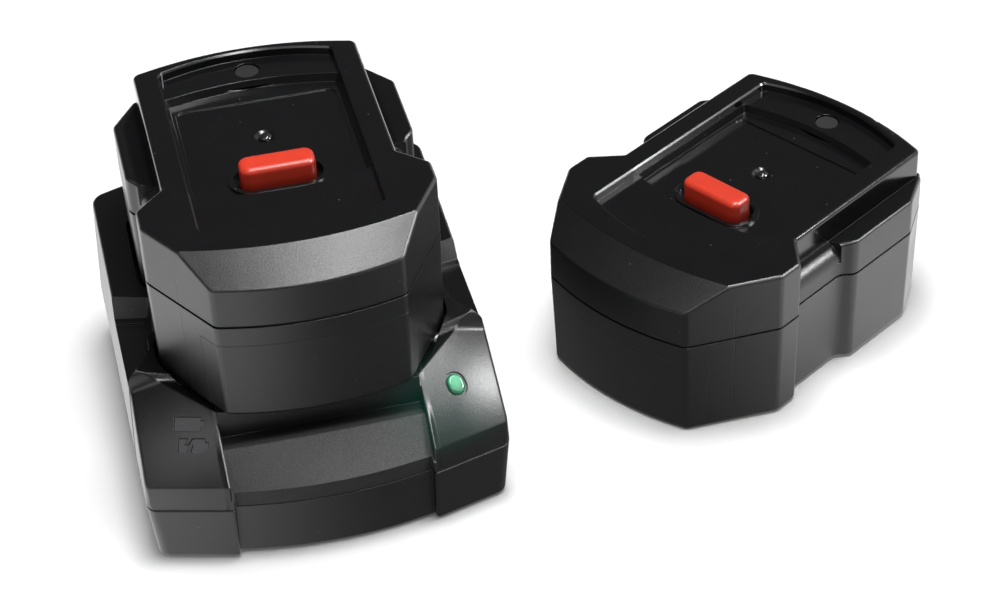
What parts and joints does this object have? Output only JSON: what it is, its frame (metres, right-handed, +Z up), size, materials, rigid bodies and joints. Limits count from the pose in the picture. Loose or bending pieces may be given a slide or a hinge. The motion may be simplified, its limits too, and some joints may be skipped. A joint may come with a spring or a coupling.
{
  "type": "battery pack charging set",
  "caption": "Desktop charging dock with a battery pack seated in its well and a matching spare pack beside it; each pack has a raised rail frame and a red push button.",
  "frame": {"origin": "centre of the set's footprint at the table top", "axes": "+X along the set's length, from the charger towards the spare pack; +Y from the charger's front towards its rear; +Z up"},
  "size_m": [0.3048, 0.1554, 0.1144],
  "materials": {
    "dock_shell_upper": "piano-black top, satin moulded front facets",
    "dock_shell_lower": "satin moulded",
    "foot_rubber": "matte",
    "dock_screw_steel": "zinc plated",
    "board_laminate": "solder mask",
    "board_screw_steel": "zinc plated",
    "core_laminations": "varnished sheet stack",
    "winding_copper": "enamelled copper wire",
    "sink_aluminium": "extruded, black anodised edges",
    "capacitor_cans": "shrink sleeve",
    "tower_plastic": "moulded",
    "blade_metal": "tin-plated brass",
    "carrier_laminate": "solder mask",
    "inlet_plastic": "moulded",
    "inlet_pin_metal": "nickel-plated",
    "lens_green": "translucent, lit",
    "lamp_laminate": "solder mask",
    "window_smoke": "translucent smoke",
    "pack_shell_upper": "piano-black",
    "pack_shell_lower": "satin moulded",
    "seal_rubber": "matte",
    "cell_sleeve": "shrink sleeve",
    "link_nickel": "nickel strip",
    "tray_plastic": "moulded",
    "socket_plastic": "moulded",
    "fork_metal": "tin-plated brass",
    "pack_laminate": "solder mask",
    "button_red": "satin red-orange",
    "spring_steel": "spring wire",
    "plate_plastic": "moulded",
    "vent_plastic": "polished",
    "plug_plastic": "satin",
    "pack_screw_steel": "zinc plated"
  },
  "bodies": {
    "charger": {"dock_cover": "dock_shell_upper", "dock_base": "dock_shell_lower", "dock_feet": "foot_rubber", "dock_screws": "dock_screw_steel", "power_board": "board_laminate", "board_screws": "board_screw_steel", "transformer_core": "core_laminations", "transformer_winding": "winding_copper", "heatsink": "sink_aluminium", "capacitors": "capacitor_cans", "contact_tower": "tower_plastic", "contact_blades": "blade_metal", "contact_carrier": "carrier_laminate", "power_inlet": "inlet_plastic", "inlet_pins": "inlet_pin_metal", "light_lens": "lens_green", "light_boards": "lamp_laminate", "status_windows": "window_smoke"},
    "docked_pack": {"docked_cover": "pack_shell_upper", "docked_case": "pack_shell_lower", "docked_seal": "seal_rubber", "docked_cells": "cell_sleeve", "docked_cell_links": "link_nickel", "docked_cell_tray": "tray_plastic", "docked_cell_frame": "tray_plastic", "docked_contact_socket": "socket_plastic", "docked_contact_forks": "fork_metal", "docked_circuit_board": "pack_laminate", "docked_button_springs": "spring_steel", "docked_button_plate": "plate_plastic", "docked_vent_dome": "vent_plastic", "docked_rear_plug": "plug_plastic", "docked_screws": "pack_screw_steel"},
    "docked_button_body": {"docked_button": "button_red"},
    "spare_pack": {"spare_cover": "pack_shell_upper", "spare_case": "pack_shell_lower", "spare_seal": "seal_rubber", "spare_cells": "cell_sleeve", "spare_cell_links": "link_nickel", "spare_cell_tray": "tray_plastic", "spare_cell_frame": "tray_plastic", "spare_contact_socket": "socket_plastic", "spare_contact_forks": "fork_metal", "spare_circuit_board": "pack_laminate", "spare_button_springs": "spring_steel", "spare_button_plate": "plate_plastic", "spare_vent_dome": "vent_plastic", "spare_rear_plug": "plug_plastic", "spare_screws": "pack_screw_steel"},
    "spare_button_body": {"spare_button": "button_red"}
  },
  "joints": [
    {"name": "docked_pack_lift", "type": "slide", "parent": "charger", "child": "docked_pack", "axis": [0, 0, 1], "range_m": [0, 0.08]},
    {"name": "docked_button_press", "type": "slide", "parent": "docked_pack", "child": "docked_button_body", "axis": [0, 0, -1], "range_m": [0, 0.002], "stiffness_N_per_m": 400, "springref_m": -0.005, "deforming": ["docked_button_springs"]},
    {"name": "spare_pack_lift", "type": "slide", "parent": "charger", "child": "spare_pack", "axis": [0, 0, 1], "range_m": [0, 0.08]},
    {"name": "spare_button_press", "type": "slide", "parent": "spare_pack", "child": "spare_button_body", "axis": [0, 0, -1], "range_m": [0, 0.002], "stiffness_N_per_m": 400, "springref_m": -0.005, "deforming": ["spare_button_springs"]}
  ]
}
